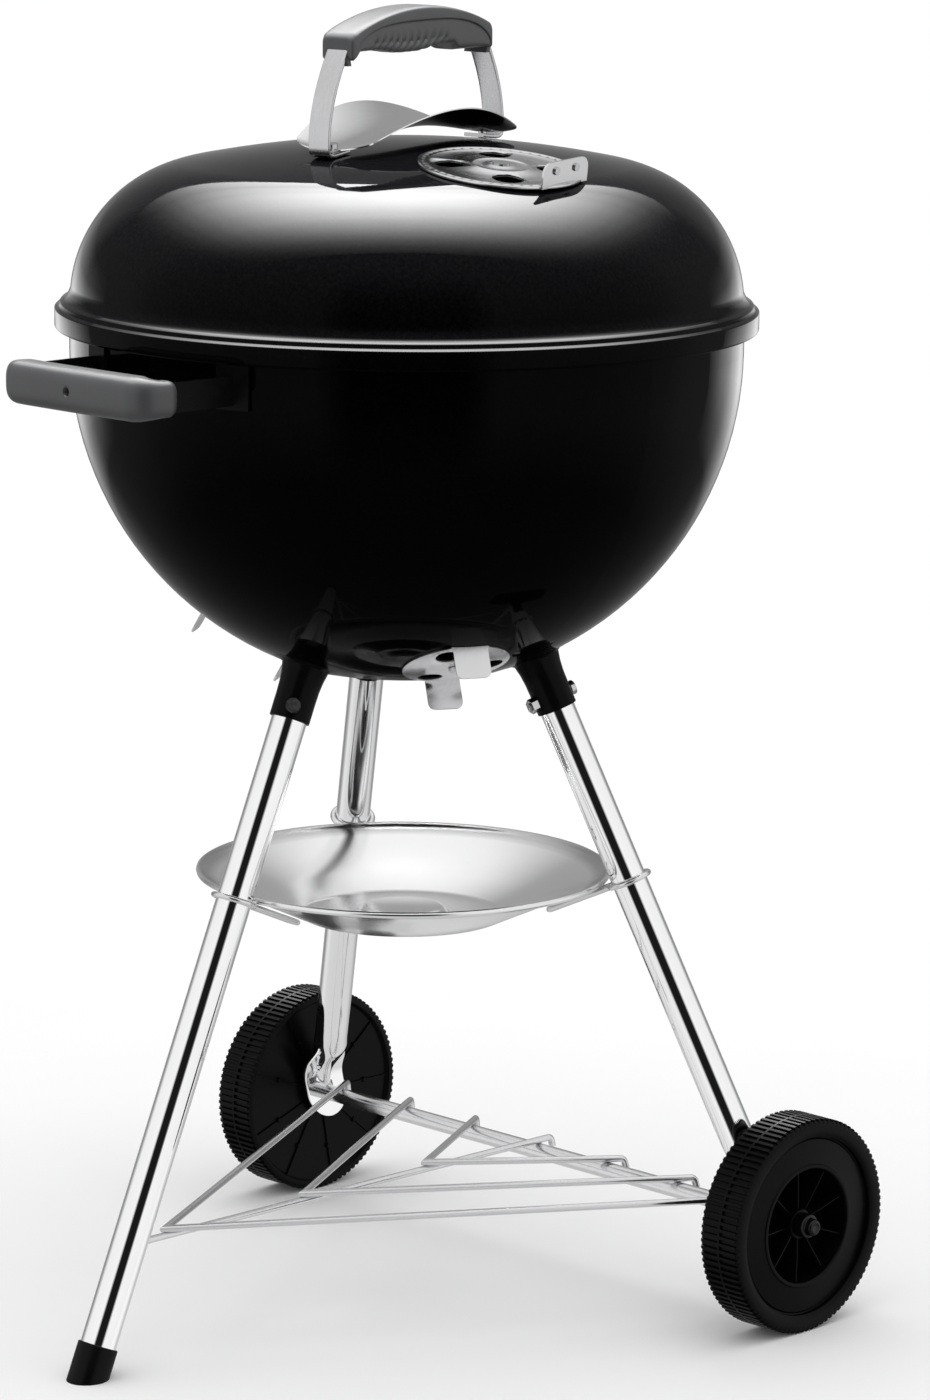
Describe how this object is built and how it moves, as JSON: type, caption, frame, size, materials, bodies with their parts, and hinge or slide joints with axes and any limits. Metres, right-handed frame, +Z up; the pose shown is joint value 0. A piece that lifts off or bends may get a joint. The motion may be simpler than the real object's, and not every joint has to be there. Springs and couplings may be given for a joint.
{
  "type": "kettle charcoal grill",
  "caption": "Round covered kettle grill with a domed lid, slanted tube legs, two wheels, an ash pan and a wire bottom rack.",
  "frame": {"origin": "on the floor, at the middle of the whole object's footprint box", "axes": "+Z up; +X along the wheel axle; -Y towards the front leg and the bowl handle"},
  "size_m": [0.547, 0.5605, 0.9225],
  "materials": {
    "enamel": "deep gloss black porcelain enamel on steel",
    "black_steel": "satin black coated steel",
    "leg_chrome": "bright plated tube",
    "strap_steel": "brushed stainless strap",
    "shield_aluminium": "polished aluminium sheet",
    "damper_aluminium": "satin aluminium sheet",
    "pan_aluminium": "satin spun aluminium",
    "nylon": "glass-filled grey nylon, satin",
    "zinc_wire": "bright zinc-plated wire",
    "grate_wire": "plated steel wire",
    "wheel_plastic": "moulded black plastic, satin",
    "hub_plastic": "glossy black plastic",
    "foot_plastic": "soft black plastic",
    "fastener": "zinc-plated steel"
  },
  "bodies": {
    "stand": {"bowl": "enamel", "grate_tabs": "black_steel", "bowl_damper_rivets": "fastener", "bowl_handle_bracket": "black_steel", "bowl_handle_plates": "black_steel", "bowl_handle_grip": "nylon", "leg_socket_front": "black_steel", "leg_socket_right": "black_steel", "leg_socket_left": "black_steel", "leg_front": "leg_chrome", "leg_right": "leg_chrome", "leg_left": "leg_chrome", "foot_cap": "foot_plastic", "leg_bolts": "fastener", "leg_nuts": "fastener", "axle": "zinc_wire", "wheel_washers": "fastener", "hub_cap_right": "hub_plastic", "hub_cap_left": "hub_plastic", "rack_center_rod": "zinc_wire", "rack_wires_right": "zinc_wire", "rack_wires_left": "zinc_wire", "ash_pan": "pan_aluminium", "pan_clips": "zinc_wire"},
    "lid": {"lid": "enamel", "lid_handle_strap": "strap_steel", "lid_handle_grip": "nylon", "lid_handle_insert": "nylon", "heat_shield": "shield_aluminium", "lid_handle_screws": "fastener", "lid_damper_rivet": "fastener"},
    "lid_damper": {"lid_damper": "damper_aluminium", "lid_damper_tab": "damper_aluminium", "lid_damper_tab_rivets": "fastener"},
    "bowl_damper_front_right": {"bowl_damper_front_right": "damper_aluminium"},
    "bowl_damper_rear": {"bowl_damper_rear": "damper_aluminium"},
    "bowl_damper_front_left": {"bowl_damper_front_left": "damper_aluminium"},
    "wheel_right": {"wheel_right": "wheel_plastic"},
    "wheel_left": {"wheel_left": "wheel_plastic"},
    "charcoal_grate": {"charcoal_grate": "grate_wire"},
    "cooking_grate": {"cooking_grate": "grate_wire", "cooking_grate_handles": "grate_wire"}
  },
  "joints": [
    {"name": "lid_lift", "type": "slide", "parent": "stand", "child": "lid", "axis": [0, 0, 1], "range_m": [0, 0.3]},
    {"name": "lid_damper_turn", "type": "hinge", "parent": "lid", "child": "lid_damper", "pos_m": [0.11542, 0.00837, 0.82077], "axis": [0.1468, -0.0312, 0.9887], "range_deg": [-45, 45]},
    {"name": "bowl_damper_front_right_turn", "type": "hinge", "parent": "stand", "child": "bowl_damper_front_right", "pos_m": [0.10156, -0.01664, 0.47895], "axis": [0.4322, -0.2108, -0.8768], "range_deg": [-45, 45]},
    {"name": "bowl_damper_rear_turn", "type": "hinge", "parent": "stand", "child": "bowl_damper_rear", "pos_m": [-0.00788, 0.14563, 0.47895], "axis": [-0.0335, 0.4797, -0.8768], "range_deg": [-45, 45]},
    {"name": "bowl_damper_front_left_turn", "type": "hinge", "parent": "stand", "child": "bowl_damper_front_left", "pos_m": [-0.09368, -0.03029, 0.47895], "axis": [-0.3986, -0.2689, -0.8768], "range_deg": [-45, 45]},
    {"name": "wheel_right_spin", "type": "hinge", "parent": "stand", "child": "wheel_right", "pos_m": [0.25, 0.1739, 0.077], "axis": [1, 0, 0], "continuous": true},
    {"name": "wheel_left_spin", "type": "hinge", "parent": "stand", "child": "wheel_left", "pos_m": [-0.25, 0.1739, 0.077], "axis": [1, 0, 0], "continuous": true},
    {"name": "cooking_grate_lift", "type": "slide", "parent": "stand", "child": "cooking_grate", "axis": [0, 0, 1], "range_m": [0, 0.03]},
    {"name": "charcoal_grate_lift", "type": "slide", "parent": "stand", "child": "charcoal_grate", "axis": [0, 0, 1], "range_m": [0, 0.08]}
  ]
}
